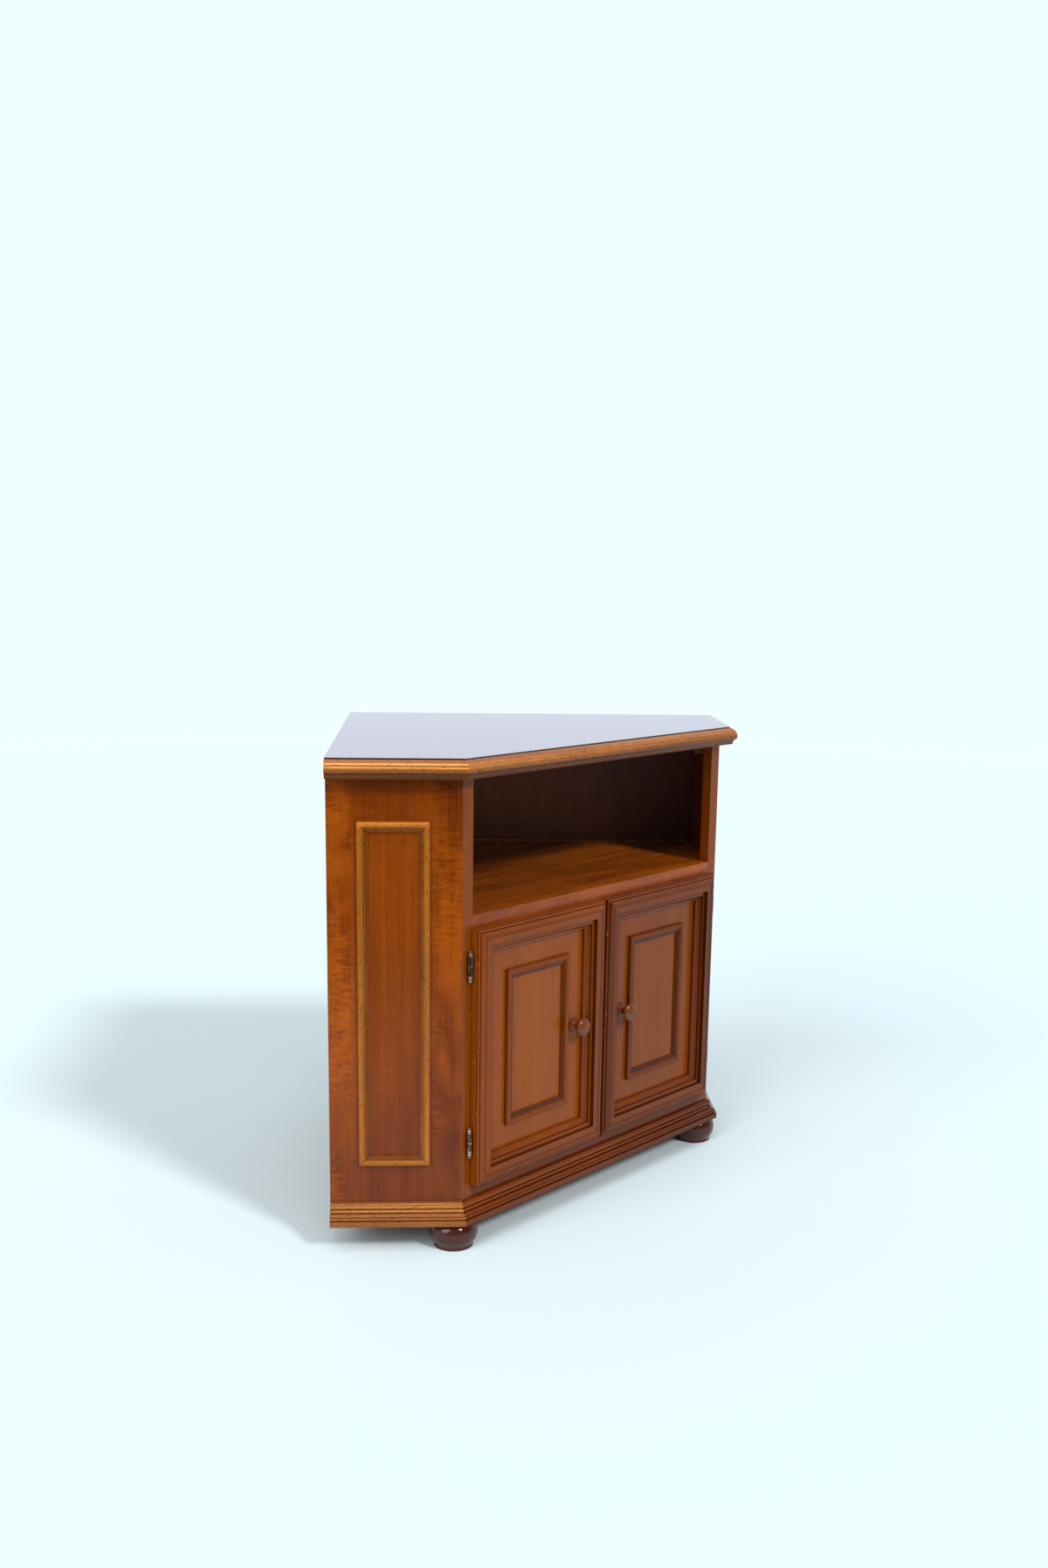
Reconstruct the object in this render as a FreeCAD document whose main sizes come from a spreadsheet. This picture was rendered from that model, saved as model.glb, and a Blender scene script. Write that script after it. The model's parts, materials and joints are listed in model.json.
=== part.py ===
import FreeCAD, Part
import math
import os
from types import SimpleNamespace

import Sketcher

# Corner television cabinet: a five-sided case that fits the corner of a room, with an open
# niche above a two-door cupboard, moulded top and base, and bun feet.
# Frame: millimetres, Z up, the doors face -Y, the back corner is at +Y, the floor is Z = 0.
# The plan is set out from the back corner: "out" is a distance out from a wall and "along"
# is a distance along that wall. Left pieces are built and right pieces are their mirror images.

SIZES = {
    # Case
    "wall_length": 600.0,
    "side_depth": 183.0,
    "carcass_height": 600.5,
    "side_thickness": 16.0,
    "post_width": 20.0,
    "back_thickness": 5.0,
    "back_rebate": 10.0,
    "corner_post_width": 25.0,
    "bottom_thickness": 22.0,
    "shelf_thickness": 20.0,
    "niche_height": 191.5,
    "cleat_width": 20.0,
    "cleat_end_gap": 18.0,
    # Top
    "top_thickness": 27.5,
    "top_side_overhang": 14.7,
    "top_front_overhang": 12.3,
    "top_molding_projection": 12.5,
    # Base and feet
    "foot_height": 41.0,
    "foot_radius": 35.0,
    "foot_disc_radius": 28.4,
    "foot_disc_height": 5.0,
    "foot_neck_radius": 25.0,
    "foot_dowel_radius": 6.0,
    "foot_dowel_length": 20.0,
    "dowel_clearance": 0.1,
    "front_foot_inset": 19.8,
    "front_foot_side_inset": 5.5,
    "rear_foot_wall_inset": 45.0,
    "rear_foot_side_inset": 115.0,
    "base_height": 31.0,
    "base_rail_width": 60.0,
    "base_molding_projection": 18.3,
    # Applied moulding on the sides and on the door panels
    "strip_width": 14.0,
    "strip_thickness": 7.0,
    "side_strip_rear_margin": 41.0,
    "side_strip_front_margin": 44.0,
    "side_strip_bottom_margin": 54.5,
    "side_strip_top_margin": 59.5,
    # Doors
    "door_side_lap": 3.0,
    "door_bottom_lap": 4.0,
    "door_top_lap": 2.0,
    "door_middle_gap": 2.0,
    "door_back_gap": 1.0,
    "door_frame_width": 39.0,
    "door_frame_thickness": 16.5,
    "door_inset_depth": 6.5,
    "door_inset_gap": 1.0,
    "door_panel_thickness": 3.5,
    "door_panel_setback": 1.5,
    "door_panel_lip": 8.0,
    "door_panel_clearance": 0.5,
    "door_strip_margin": 71.0,
    # Knobs
    "knob_length": 27.0,
    "knob_head_radius": 13.5,
    "knob_base_radius": 11.0,
    "knob_neck_radius": 5.5,
    "knob_rise": 2.0,
    "knob_screw_radius": 2.0,
    "knob_screw_head_radius": 4.5,
    "knob_screw_head_height": 2.2,
    "knob_screw_reach": 14.0,
    # Hinges
    "barrel_radius": 3.75,
    "barrel_length": 27.0,
    "barrel_face_gap": 0.4,
    "barrel_edge_gap": 1.5,
    "barrel_end_gap": 0.3,
    "barrel_ring_radius": 4.0,
    "barrel_ring_thickness": 0.8,
    "hinge_pin_radius": 1.8,
    "hinge_pin_clearance": 0.05,
    "finial_length": 9.5,
    "hinge_top_inset": 51.0,
    "hinge_bottom_inset": 67.0,
    "hinge_screw_radius": 1.6,
    "hinge_screw_reach": 11.0,
    "screw_clearance": 0.1,
    # Magnetic catches
    "catch_length": 38.0,
    "catch_height": 13.0,
    "catch_depth": 16.0,
    "catch_spacing": 3.0,
    "catch_face_gap": 0.5,
    "catch_lip_height": 3.0,
    "catch_lip_depth": 5.0,
    "strike_length": 28.0,
    "strike_height": 9.0,
    "strike_thickness": 0.8,
    # Every cut runs this far past the piece
    "overrun": 2.0,
}

# Outlines as shares of a width and a height. A third number makes the side to the next corner
# an arc: its radius as a share of that side, positive where the outline turns left.
TOP_MOLDING_SHARES = [
    (0, 0), (0.46, 0), (0.46, 0.05, -0.90), (0.80, 0.27), (0.80, 0.30), (0.88, 0.30, 1.30), (1, 0.42),
    (1, 0.46, 0.78), (0.06, 0.93), (0, 0.93),
]
BASE_MOLDING_SHARES = [
    (0, 0), (1, 0), (1, 0.27), (0.84, 0.27), (0.84, 0.31, 0.66), (0.52, 0.55), (0.47, 0.55, 0.66),
    (0.38, 0.69), (0.34, 0.69, 0.70), (0.16, 1), (0, 1),
]
STRIP_SHARES = [
    (0, 0), (1, 0), (1, 0.34), (0.82, 0.34), (0.82, 0.48), (0.64, 0.48), (0.64, 0.62),
    (0.50, 0.62, 0.53), (0, 0.62),
]
DOOR_FRAME_FRONT_SHARES = [
    (1, 0.22), (0.97, 0.24, -0.85), (0.82, 0.60), (0.80, 0.60), (0.80, 0.70), (0.65, 0.70),
    (0.65, 0.66), (0.63, 0.66), (0.63, 1), (0.385, 1), (0.38, 0.95), (0.37, 0.95), (0.365, 1),
    (0.31, 1), (0.305, 0.95), (0.295, 0.95), (0.29, 1), (0.256, 1, 0.75), (0.14, 0.77),
    (0.14, 0.72), (0.12, 0.72), (0.12, 0.78, 0.75), (0.03, 0.64), (0.03, 0.60), (0, 0.60),
]
KNOB_BASE_SHARES = [
    (1, 0), (1, 0.05, 0.75), (0.80, 0.13), (0.74, 0.13, 0.75), (0.60, 0.21),
]
KNOB_NECK_SHARES = [(1, 0.26), (1, 0.42, -0.85)]
KNOB_HEAD_SHARES = [
    (0.90, 0.66), (1, 0.70), (1, 0.77, 0.90), (0.62, 0.90), (0.58, 0.88), (0.34, 0.92), (0, 1),
]
FINIAL_SHARES = [
    (0.96, 0), (0.96, 0.15), (0.60, 0.19), (0.60, 0.29), (0.92, 0.34), (0.92, 0.52), (0.50, 0.59),
    (0.50, 0.72), (0.80, 0.78), (0.74, 0.90), (0, 1),
]
MITER_SHARE = 1.0
CORNER_MITER_SHARE = math.tan(math.pi / 8)
DIAGONAL_SHARE = math.sqrt(2)

LEFT_OUTWARD = FreeCAD.Vector(-1, -1, 0).normalize()
LEFT_FRONTWARD = FreeCAD.Vector(1, -1, 0).normalize()
RIGHTWARD = FreeCAD.Vector(1, 0, 0)
FORWARD = FreeCAD.Vector(0, -1, 0)
BACKWARD = FreeCAD.Vector(0, 1, 0)
UPWARD = FreeCAD.Vector(0, 0, 1)


class Size:
    """A length: what it measures now, and the sheet expression that gives it."""

    def __init__(self, value, text):
        self.value = value
        self.text = text

    def __add__(self, other):
        other = as_size(other)
        return Size(self.value + other.value, f"({self.text} + {other.text})")

    __radd__ = __add__

    def __neg__(self):
        return Size(-self.value, f"(0 - {self.text})")

    def __sub__(self, other):
        return self + -as_size(other)

    def __rsub__(self, other):
        return as_size(other) - self

    def __mul__(self, other):
        other = as_size(other)
        return Size(self.value * other.value, f"({self.text} * {other.text})")

    __rmul__ = __mul__

    def __truediv__(self, other):
        other = as_size(other)
        return Size(self.value / other.value, f"({self.text} / {other.text})")


def as_size(number):
    if isinstance(number, Size):
        return number
    return Size(number, f"({number!r})")


def distance(start, end):
    """The straight distance between two corners of an outline."""
    across = end[0] - start[0]
    upward = end[1] - start[1]
    square = across * across + upward * upward
    return Size(math.sqrt(square.value), f"sqrt({square.text})")


def dome_radius(start, end):
    """The radius of an arc between two corners that is level at the corner on the axis."""
    return distance(start, end) * distance(start, end) / ((end[1] - start[1]) * 2)


def domed(outline):
    """A half outline whose last side is a dome onto the axis."""
    start, end = outline[-2:]
    return outline[:-2] + [(*start, dome_radius(start, end)), end]


def bulge_radius(start, end):
    """The radius of an arc between two corners that is upright at the wider one."""
    across = abs_size(end[0] - start[0])
    return distance(start, end) * distance(start, end) / (across * 2)


def abs_size(length):
    return length if length.value > 0 else -length


def sheet_of_sizes(doc):
    """The spreadsheet of driving dimensions, and each of them as a Size."""
    sheet = doc.addObject("Spreadsheet::Sheet", "Sizes")
    for row, (name, value) in enumerate(SIZES.items(), start=1):
        sheet.set(f"A{row}", name)
        sheet.set(f"B{row}", str(value))
        sheet.setAlias(f"B{row}", name)
    doc.recompute()
    return SimpleNamespace(**{name: Size(float(sheet.get(name)), f"Sizes.{name}") for name in SIZES})


doc = FreeCAD.newDocument("CornerCabinet")
size = sheet_of_sizes(doc)
pieces = []

# Places that several pieces share
ZERO = as_size(0)
front_reach = (size.wall_length + size.side_depth) / DIAGONAL_SHARE
half_front = (size.wall_length - size.side_depth) / DIAGONAL_SHARE
knob_reach = size.door_back_gap - size.door_panel_setback + size.knob_length
back_y = (front_reach + knob_reach) / 2
front_y = back_y - front_reach
carcass_bottom = size.foot_height + size.base_height
carcass_top = carcass_bottom + size.carcass_height
bottom_top = carcass_bottom + size.bottom_thickness
shelf_top = carcass_top - size.niche_height
shelf_bottom = shelf_top - size.shelf_thickness
half_opening = half_front - size.post_width
side_inside = size.wall_length - size.side_thickness
miter_setback = size.side_thickness * CORNER_MITER_SHARE

door_outer_x = -(half_opening + size.door_side_lap)
door_inner_x = -size.door_middle_gap / 2
door_width = door_inner_x - door_outer_x
door_bottom = bottom_top - size.door_bottom_lap
door_top = shelf_bottom + size.door_top_lap
door_height = door_top - door_bottom
door_middle_x = (door_outer_x + door_inner_x) / 2
door_middle_z = (door_bottom + door_top) / 2
door_back_y = front_y - size.door_back_gap
door_inset = size.door_bottom_lap + size.door_inset_gap
panel_front_y = door_back_y + size.door_panel_setback
panel_back_y = panel_front_y + size.door_panel_thickness
knob_x = door_inner_x - (size.door_frame_width + size.door_strip_margin) / 2
knob_z = door_middle_z + size.knob_rise

hinge_x = door_outer_x - size.barrel_edge_gap - size.barrel_radius
hinge_y = front_y - size.barrel_face_gap - size.barrel_radius
hinge_levels = {"upper": door_top - size.hinge_top_inset, "lower": door_bottom + size.hinge_bottom_inset}
door_half_rise = (size.barrel_length + size.barrel_ring_thickness) / 4
hinge_screw_start = size.hinge_pin_radius + size.hinge_pin_clearance + size.screw_clearance
hinge_hole_depth = size.hinge_screw_reach + size.screw_clearance


def plan(out, along):
    """A point of the left half of the plan, from its distances out from the wall and along it."""
    return ((out - along) / DIAGONAL_SHARE, back_y - (out + along) / DIAGONAL_SHARE)


def both_halves(left_corners):
    """A symmetrical outline from the corners of its left half."""
    return left_corners + [(-corner[0], corner[1]) for corner in reversed(left_corners)]


def scaled(shares, width, height, along=ZERO):
    """An outline in real sizes from shares of a width and a height."""
    return [(width * share[0], along + height * share[1], *share[2:]) for share in shares]


def rectangle(low_x, low_y, high_x, high_y):
    return [(low_x, low_y), (high_x, low_y), (high_x, high_y), (low_x, high_y)]


# Bodies, sketches and features

def new_body(label):
    body = doc.addObject("PartDesign::Body", label)
    body.Label = label
    return body


def place(body, x, y, z, x_axis=RIGHTWARD, z_axis=UPWARD):
    """Puts a body's origin at a place, with its own X and Z along the given directions."""
    turn = FreeCAD.Rotation(x_axis, z_axis.cross(x_axis), z_axis, "ZXY")
    body.Placement = FreeCAD.Placement(FreeCAD.Vector(x.value, y.value, z.value), turn)
    for axis, length in (("x", x), ("y", y), ("z", z)):
        body.setExpression(f"Placement.Base.{axis}", length.text)


def arc_between(start, end, radius):
    """The shorter arc from one corner to the next, turning left where the radius is positive."""
    low = FreeCAD.Vector(start[0].value, start[1].value, 0)
    high = FreeCAD.Vector(end[0].value, end[1].value, 0)
    if radius < 0:
        low, high = high, low
    chord = high - low
    inward = FreeCAD.Vector(-chord.y, chord.x, 0)
    rise = math.sqrt(max(radius * radius - chord.Length ** 2 / 4, 0))
    centre = (low + high) / 2 + inward * (rise / chord.Length)
    first = math.atan2(low.y - centre.y, low.x - centre.x)
    last = math.atan2(high.y - centre.y, high.x - centre.x)
    return Part.ArcOfCircle(Part.Circle(centre, UPWARD, abs(radius)), first, last)


def arc_radius(corner, following):
    """The radius that a corner gives for the side after it, as a length or as a share of that side."""
    if isinstance(corner[2], Size):
        return corner[2]
    return distance(corner, following) * corner[2]


def draw(body, plane_role, outlines=(), circles=()):
    """A sketch on one of the body's origin planes, with every corner and radius bound to the sheet."""
    plane = next(item for item in body.Origin.OriginFeatures if item.Role == plane_role)
    sketch = body.newObject("Sketcher::SketchObject", "Sketch")
    sketch.AttachmentSupport = (plane, [""])
    sketch.MapMode = "FlatFace"
    curves = []
    joins = []
    lengths = []

    def tie(kind, spot, length):
        lengths.append((kind, spot, length))

    def locate(spot, corner):
        tie("DistanceX", (-1, 1, *spot), corner[0])
        tie("DistanceY", (-1, 1, *spot), corner[1])

    for outline in outlines:
        starts = []
        ends = []
        for corner, following in zip(outline, outline[1:] + outline[:1]):
            index = len(curves)
            forward = True
            if len(corner) == 2:
                line_ends = [FreeCAD.Vector(spot[0].value, spot[1].value, 0) for spot in (corner, following)]
                curves.append(Part.LineSegment(*line_ends))
            else:
                radius = arc_radius(corner, following)
                forward = radius.value > 0
                curves.append(arc_between(corner, following, radius.value))
                tie("Radius", (index,), abs_size(radius))
            starts.append((index, 1 if forward else 2))
            ends.append((index, 2 if forward else 1))
            locate(starts[-1], corner)
        for end, start in zip(ends, starts[1:] + starts[:1]):
            joins.append(Sketcher.Constraint("Coincident", *end, *start))
    for x, y, radius in circles:
        index = len(curves)
        curves.append(Part.Circle(FreeCAD.Vector(x.value, y.value, 0), UPWARD, radius.value))
        locate((index, 3), (x, y))
        tie("Radius", (index,), radius)

    sketch.addGeometry(curves)
    sketch.addConstraint(joins)
    sketch.addConstraint([Sketcher.Constraint(kind, *spot, length.value) for kind, spot, length in lengths])
    for index, (kind, spot, length) in enumerate(lengths, start=len(joins)):
        sketch.setExpression(f"Constraints[{index}]", length.text)
    return sketch


def extrude(body, sketch, length, kind="PartDesign::Pad", side_type="Symmetric"):
    feature = body.newObject(kind, kind.split("::")[1])
    feature.Profile = sketch
    feature.SideType = side_type
    feature.setExpression("Length", length.text)
    return feature


def cut(body, sketch, depth):
    """Cuts a sketch to the same depth on both sides of its plane."""
    return extrude(body, sketch, depth * 2, "PartDesign::Pocket")


def turned(label, outline):
    """A turned piece: its half outline, radius against height, spun about its own Z."""
    body = new_body(label)
    sketch = draw(body, "XZ_Plane", [outline])
    feature = body.newObject("PartDesign::Revolution", "Revolution")
    feature.Profile = sketch
    feature.ReferenceAxis = (sketch, ["V_Axis"])
    feature.Angle = 360
    return body


def board(label, corners, bottom, height):
    """A flat board: its plan raised from its underside."""
    body = new_body(label)
    extrude(body, draw(body, "XY_Plane", [corners]), height, side_type="One side")
    place(body, ZERO, ZERO, bottom)
    return body


def strip(label, profile, width, thickness, length, slopes):
    """A length of moulding along its own Y, its profile in X and Z, with both ends cut.
    A slope is how far an end line moves outwards along the strip for each unit of width."""
    body = new_body(label)
    extrude(body, draw(body, "XZ_Plane", [profile]), length + width * 2)
    low = -size.overrun
    high = width + size.overrun
    far = length / 2 + width * 2
    waste = []
    for end, slope in zip((-1, 1), slopes):
        near = length / 2 + low * slope
        wide = length / 2 + high * slope
        waste.append([(low, near * end), (high, wide * end), (high, far * end), (low, far * end)])
    cut(body, draw(body, "XY_Plane", waste), thickness + size.overrun)
    return body


def group(label, members):
    """Several separate solids under one name."""
    together = doc.addObject("Part::Compound", label)
    together.Label = label
    together.Links = members
    return together


def keep(piece):
    pieces.append(piece)
    return piece


def keep_pair(left_piece):
    """Keeps a left piece and its mirror image."""
    keep(left_piece)
    label = left_piece.Label.replace("left", "right")
    twin = doc.addObject("Part::Mirroring", label)
    twin.Label = label
    twin.Source = left_piece
    twin.Normal = RIGHTWARD
    return keep(twin)


# Case

def side_panels():
    rebate_edge = side_inside + size.back_rebate
    corners = [
        plan(ZERO, size.wall_length),
        plan(size.side_depth, size.wall_length),
        plan(size.side_depth - miter_setback, side_inside),
        plan(size.back_thickness, side_inside),
        plan(size.back_thickness, rebate_edge),
        plan(ZERO, rebate_edge),
    ]
    keep_pair(board("side_panel_left", corners, carcass_bottom, size.carcass_height))


def front_posts():
    """The posts beside the opening, mitred to the sides and drilled for the hinge screws."""
    body = new_body("front_post_left")
    corners = [
        (-half_front, ZERO),
        (-half_opening, ZERO),
        (-half_opening, size.side_thickness),
        (miter_setback - half_front, size.side_thickness),
    ]
    extrude(body, draw(body, "XY_Plane", [corners]), size.carcass_height, side_type="One side")
    drop = door_half_rise + carcass_bottom
    holes = [(hinge_x, level - drop, size.hinge_screw_radius) for level in hinge_levels.values()]
    cut(body, draw(body, "XZ_Plane", circles=holes), hinge_hole_depth)
    place(body, ZERO, front_y, carcass_bottom)
    keep_pair(body)


def inside_outline():
    """The plan of a board that fills the case, notched round the posts and the back corner."""
    post_edge = size.back_thickness + size.corner_post_width
    left = [
        (-half_opening, front_y),
        (-half_opening, front_y + size.side_thickness),
        plan(size.side_depth - miter_setback, side_inside),
        plan(size.back_thickness, side_inside),
        plan(size.back_thickness, post_edge),
    ]
    right = [(-corner[0], corner[1]) for corner in reversed(left)]
    return left + [plan(post_edge, post_edge)] + right


def boards():
    keep(board("shelf_board", inside_outline(), shelf_bottom, size.shelf_thickness))
    keep(board("bottom_board", inside_outline(), carcass_bottom, size.bottom_thickness))


def back():
    """Two thin back panels that meet in the corner, and the post that they are fixed to."""
    inner = size.back_thickness
    post_edge = inner + size.corner_post_width
    panel_end = side_inside + size.back_rebate
    panel = [plan(ZERO, ZERO), plan(ZERO, panel_end), plan(inner, panel_end), plan(inner, inner)]
    keep_pair(board("back_panel_left", panel, carcass_bottom, size.carcass_height))
    post = [plan(inner, inner), plan(inner, post_edge), plan(post_edge, post_edge), plan(post_edge, inner)]
    keep(board("corner_post", post, carcass_bottom, size.carcass_height))


def cleats():
    """Strips along the sides that carry the top and the shelf."""
    rear = size.back_thickness + size.cleat_end_gap
    front = size.side_depth - miter_setback - size.cleat_end_gap
    inner = side_inside - size.cleat_width
    corners = [plan(rear, side_inside), plan(front, side_inside), plan(front, inner), plan(rear, inner)]
    for label, carried in (("top_cleat_left", carcass_top), ("shelf_cleat_left", shelf_bottom)):
        keep_pair(board(label, corners, carried - size.cleat_width, size.cleat_width))


# Top

def top():
    side_edge = size.wall_length + size.top_side_overhang
    front_edge = front_reach + size.top_front_overhang
    corner_out = front_edge * DIAGONAL_SHARE - side_edge
    corner = plan(corner_out, side_edge)
    outline = both_halves([plan(ZERO, ZERO), plan(ZERO, side_edge), corner])
    outline.pop()
    keep(board("top_board", outline, carcass_top, size.top_thickness))
    profile = scaled(TOP_MOLDING_SHARES, size.top_molding_projection, size.top_thickness)
    edge_moldings("top_molding", profile, size.top_molding_projection, size.top_thickness,
                  corner_out, side_edge, corner, carcass_top)


def edge_moldings(name, profile, projection, height, corner_out, side_edge, corner, bottom):
    """Moulding round the front and the two sides, mitred at the front corners and square at the walls."""
    both = (CORNER_MITER_SHARE, CORNER_MITER_SHARE)
    front = strip(f"{name}_front", profile, projection, height, -corner[0] * 2, both)
    place(front, ZERO, corner[1], bottom, FORWARD)
    keep(front)
    left = strip(f"{name}_left", profile, projection, height, corner_out, (0, CORNER_MITER_SHARE))
    middle = plan(corner_out / 2, side_edge)
    place(left, *middle, bottom, LEFT_OUTWARD)
    keep_pair(left)


# Base and feet

def foot_places():
    front = (size.front_foot_side_inset - half_front, front_y + size.front_foot_inset)
    inset = size.rear_foot_wall_inset
    rear = plan(inset, size.wall_length - size.rear_foot_side_inset)
    return front, rear, plan(inset, inset)


def base():
    """A frame of flat rails under the case, with the base moulding round it."""
    width = size.base_rail_width
    dowel = size.foot_dowel_radius + size.dowel_clearance
    front_place, rear_place, corner_place = foot_places()
    rail_end = size.wall_length - width

    def meets_front_rail(along):
        return (front_reach - width) * DIAGONAL_SHARE - along

    front_corners = both_halves([(-half_front, front_y), (-half_front - width, front_y + width)])
    front = board("base_front_rail", front_corners, size.foot_height, size.base_height)
    sides = [(front_place[0] * side, front_place[1], dowel) for side in (-1, 1)]
    cut(front, draw(front, "XY_Plane", circles=sides), size.foot_dowel_length + size.dowel_clearance)
    keep(front)

    side_corners = [
        plan(ZERO, size.wall_length),
        plan(meets_front_rail(size.wall_length), size.wall_length),
        plan(meets_front_rail(rail_end), rail_end),
        plan(ZERO, rail_end),
    ]
    keep_pair(board("base_side_rail_left", side_corners, size.foot_height, size.base_height))

    back_corners = [plan(ZERO, ZERO), plan(ZERO, rail_end), plan(width, rail_end), plan(width, width)]
    rail = board("base_back_rail_left", back_corners, size.foot_height, size.base_height)
    holes = [(*spot, dowel) for spot in (rear_place, corner_place)]
    cut(rail, draw(rail, "XY_Plane", circles=holes), size.foot_dowel_length + size.dowel_clearance)
    keep_pair(rail)

    profile = scaled(BASE_MOLDING_SHARES, size.base_molding_projection, size.base_height)
    edge_moldings("base_molding", profile, size.base_molding_projection, size.base_height,
                  size.side_depth, size.wall_length, (-half_front, front_y), size.foot_height)


def bun_foot(label, spot):
    """A turned bun foot on a thin disc, with a dowel that goes up into the rail."""
    rim = (size.foot_disc_radius, size.foot_disc_height)
    waist = (size.foot_radius, (size.foot_disc_height + size.foot_height) / 2)
    neck = (size.foot_neck_radius, size.foot_height)
    outline = [
        (ZERO, ZERO),
        (size.foot_disc_radius, ZERO),
        (*rim, bulge_radius(rim, waist)),
        (*waist, bulge_radius(waist, neck)),
        neck,
        (size.foot_dowel_radius, size.foot_height),
        (size.foot_dowel_radius, size.foot_height + size.foot_dowel_length),
        (ZERO, size.foot_height + size.foot_dowel_length),
    ]
    foot = turned(label, outline)
    place(foot, *spot, ZERO)
    return foot


def feet():
    front_place, rear_place, corner_place = foot_places()
    keep_pair(bun_foot("front_foot_left", front_place))
    rear_right = (-rear_place[0], rear_place[1])
    spots = {"rear_left": rear_place, "rear_right": rear_right, "rear_corner": corner_place}
    keep(group("rear_feet", [bun_foot(f"{name}_foot", spot) for name, spot in spots.items()]))


# Applied moulding

def molding_frame(label, middle, across, z_axis, width, height):
    """Four mitred strips round a rectangle on a face; across is the face's own horizontal direction."""
    profile = scaled(STRIP_SHARES, size.strip_width, size.strip_thickness)
    miters = (-MITER_SHARE, -MITER_SHARE)
    x, y, z = middle
    members = []
    for name, inward, length, reach in (
        ("top", -UPWARD, width, height), ("bottom", UPWARD, width, height),
        ("near", across, height, width), ("far", -across, height, width),
    ):
        member = strip(f"{label}_{name}", profile, size.strip_width, size.strip_thickness, length, miters)
        step = reach / 2
        place(member, x - step * inward.x, y - step * inward.y, z - step * inward.z, inward, z_axis)
        members.append(member)
    return group(label, members)


def side_moldings():
    width = size.side_depth - size.side_strip_rear_margin - size.side_strip_front_margin
    height = size.carcass_height - size.side_strip_bottom_margin - size.side_strip_top_margin
    middle = plan(size.side_strip_rear_margin + width / 2, size.wall_length)
    level = carcass_bottom + size.side_strip_bottom_margin + height / 2
    keep_pair(molding_frame("side_molding_left", (*middle, level), LEFT_FRONTWARD, LEFT_OUTWARD,
                            width, height))


# Doors

def door_frame_profile():
    """The moulded face from the inner edge out to the plain lip, and the part behind it that enters
    the opening, rebated for the panel."""
    lip_start = size.door_frame_width - size.door_panel_lip
    back_side = [
        (ZERO, ZERO),
        (door_inset, ZERO),
        (door_inset, -size.door_inset_depth),
        (lip_start, -size.door_inset_depth),
        (lip_start, -size.door_panel_setback),
        (size.door_frame_width, -size.door_panel_setback),
    ]
    return back_side + scaled(DOOR_FRAME_FRONT_SHARES, size.door_frame_width, size.door_frame_thickness)


def door_frames():
    """Two stiles and two rails of one moulded section, mitred at the corners."""
    profile = door_frame_profile()
    miters = (-MITER_SHARE, -MITER_SHARE)
    for name, inward, length, x, z in (
        ("hinge_stile", RIGHTWARD, door_height, door_outer_x, door_middle_z),
        ("meeting_stile", -RIGHTWARD, door_height, door_inner_x, door_middle_z),
        ("top_rail", -UPWARD, door_width, door_middle_x, door_top),
        ("bottom_rail", UPWARD, door_width, door_middle_x, door_bottom),
    ):
        member = strip(f"left_door_{name}", profile, size.door_frame_width, size.door_frame_thickness,
                       length, miters)
        place(member, x, door_back_y, z, inward, FORWARD)
        if name == "hinge_stile":
            drill_hinge_stile(member)
        keep_pair(member)


def drill_hinge_stile(member):
    rise = door_half_rise - door_middle_z
    forward = door_back_y - hinge_y
    holes = [(level + rise, forward, size.hinge_screw_radius) for level in hinge_levels.values()]
    cut(member, draw(member, "YZ_Plane", circles=holes), hinge_hole_depth)


def door_panels():
    """A thin panel in the frame's rebate, with its applied moulding."""
    lip = (size.door_frame_width - size.door_panel_lip + size.door_panel_clearance) * 2
    half_width = (door_width - lip) / 2
    half_height = (door_height - lip) / 2
    body = new_body("left_door_panel")
    outline = rectangle(-half_width, -half_height, half_width, half_height)
    hole = size.knob_screw_radius + size.screw_clearance
    knob_hole = (knob_x - door_middle_x, size.knob_rise, hole)
    extrude(body, draw(body, "XZ_Plane", [outline], [knob_hole]), size.door_panel_thickness)
    place(body, door_middle_x, (panel_front_y + panel_back_y) / 2, door_middle_z)
    keep_pair(body)

    margins = size.door_strip_margin * 2
    middle = (door_middle_x, panel_front_y, door_middle_z)
    keep_pair(molding_frame("left_door_panel_molding", middle, RIGHTWARD, FORWARD,
                            door_width - margins, door_height - margins))


def knobs():
    """A turned knob on the panel, and the screw that holds it from behind."""
    length = size.knob_length
    bore = size.knob_screw_radius + size.screw_clearance
    bore_end = size.knob_screw_reach + size.screw_clearance
    outline = [(ZERO, bore_end), (bore, bore_end), (bore, ZERO)]
    outline += scaled(KNOB_BASE_SHARES, size.knob_base_radius, length)
    outline += scaled(KNOB_NECK_SHARES, size.knob_neck_radius, length)
    outline += scaled(KNOB_HEAD_SHARES, size.knob_head_radius, length)
    knob = turned("left_door_knob", domed(outline))
    place(knob, knob_x, panel_front_y, knob_z, RIGHTWARD, FORWARD)
    keep_pair(knob)

    head = size.knob_screw_head_height
    reach = head + size.door_panel_thickness + size.knob_screw_reach
    screw = turned("left_door_knob_screw", screw_outline(
        size.knob_screw_head_radius, head, size.knob_screw_radius, reach))
    place(screw, knob_x, panel_back_y + head, knob_z, RIGHTWARD, FORWARD)
    keep_pair(screw)


def screw_outline(head_radius, head_height, radius, length):
    return [
        (ZERO, ZERO), (head_radius, ZERO), (head_radius, head_height), (radius, head_height),
        (radius, length - radius), (ZERO, length),
    ]


# Hinges

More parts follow.
